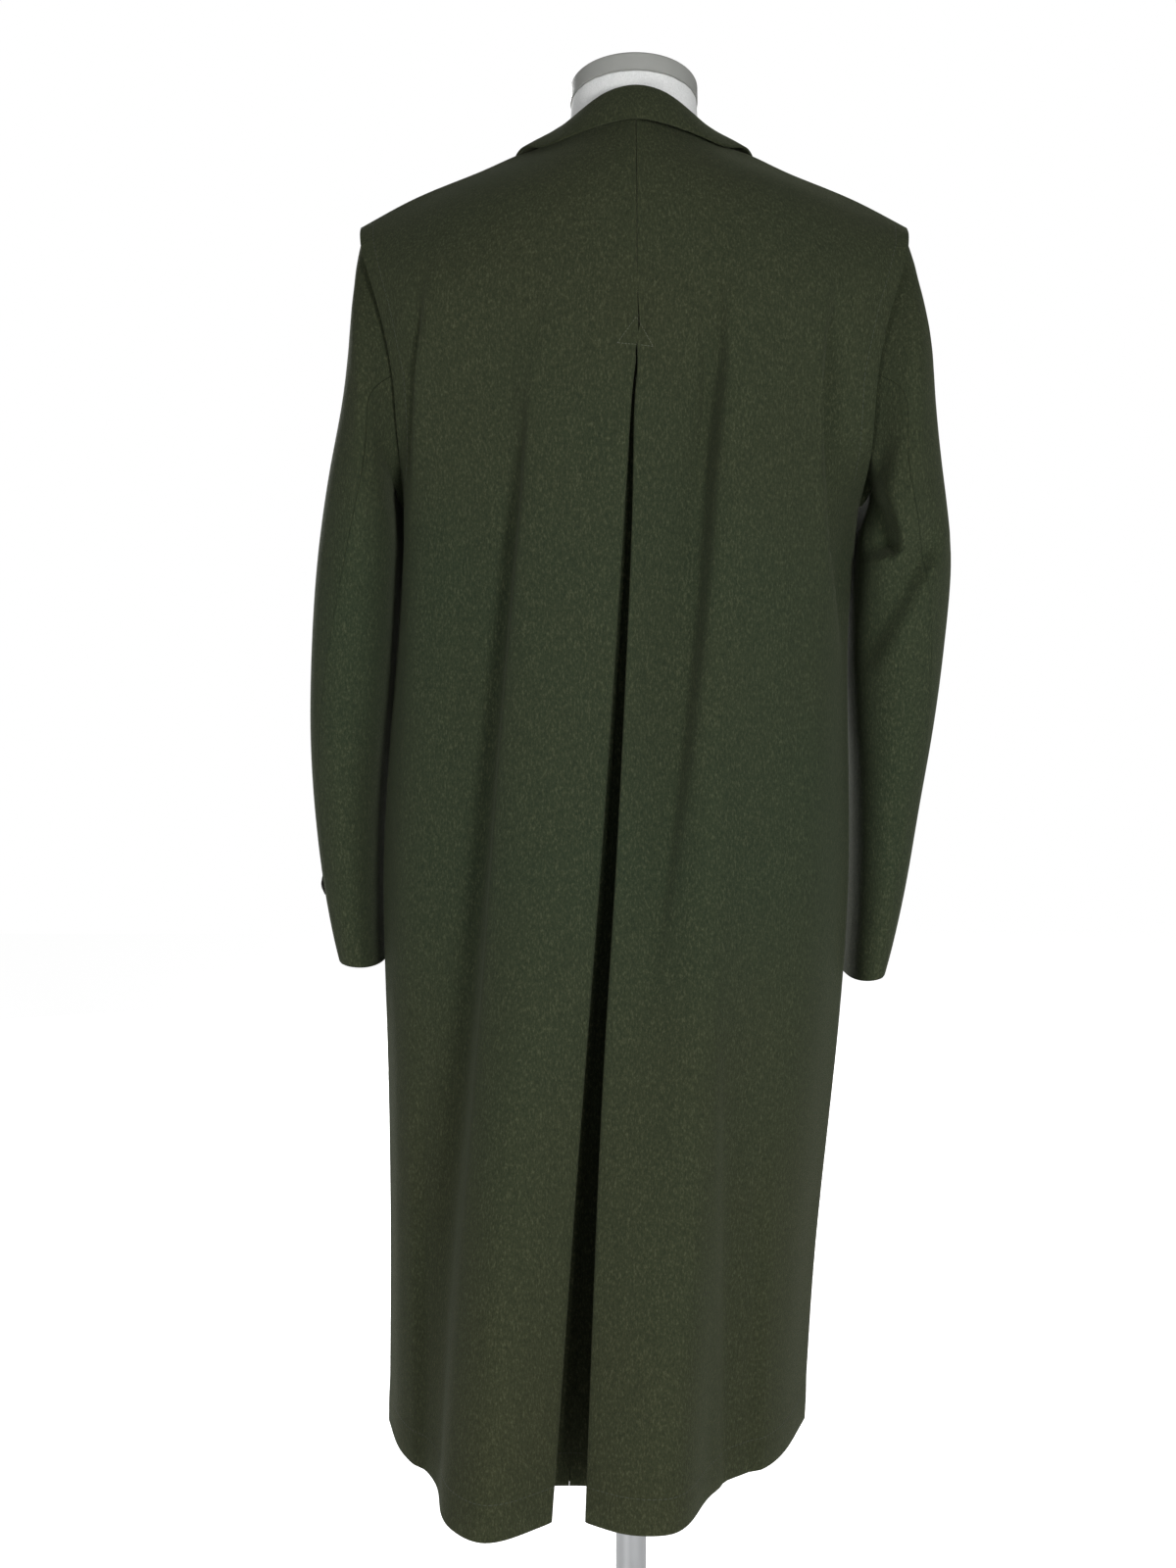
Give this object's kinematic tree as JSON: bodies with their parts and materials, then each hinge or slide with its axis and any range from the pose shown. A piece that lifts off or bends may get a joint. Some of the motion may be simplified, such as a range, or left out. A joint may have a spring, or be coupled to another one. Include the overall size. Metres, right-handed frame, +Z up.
{
  "type": "loden coat on a limbless dress form",
  "caption": "Long loose wool coat with an inverted back pleat, flanged armholes and a turned-down collar, standing on a torso dress form with a pole and round base.",
  "frame": {"origin": "centre of the stand's base, on the floor", "axes": "+Z up, -Y the back of the coat, -X the wearer's left"},
  "size_m": [0.5694, 0.437, 1.5089],
  "materials": {
    "loden": "felted milled wool with a short nap, dark olive green melange",
    "horn": "dark brown horn, satin",
    "jersey": "white stretched jersey cover",
    "cap": "matt light grey lacquer",
    "steel": "brushed"
  },
  "bodies": {
    "root": {"back_left": "loden", "back_right": "loden", "front_left": "loden", "front_right": "loden", "collar": "loden", "sleeve_top_left": "loden", "sleeve_under_left": "loden", "sleeve_top_right": "loden", "sleeve_under_right": "loden", "button_1": "horn", "button_2": "horn", "button_3": "horn", "button_4": "horn", "button_5": "horn", "cuff_button_left": "horn", "cuff_button_right": "horn", "form_torso": "jersey", "neck_cap": "cap", "stand_pole": "steel", "stand_base": "steel"}
  },
  "joints": []
}
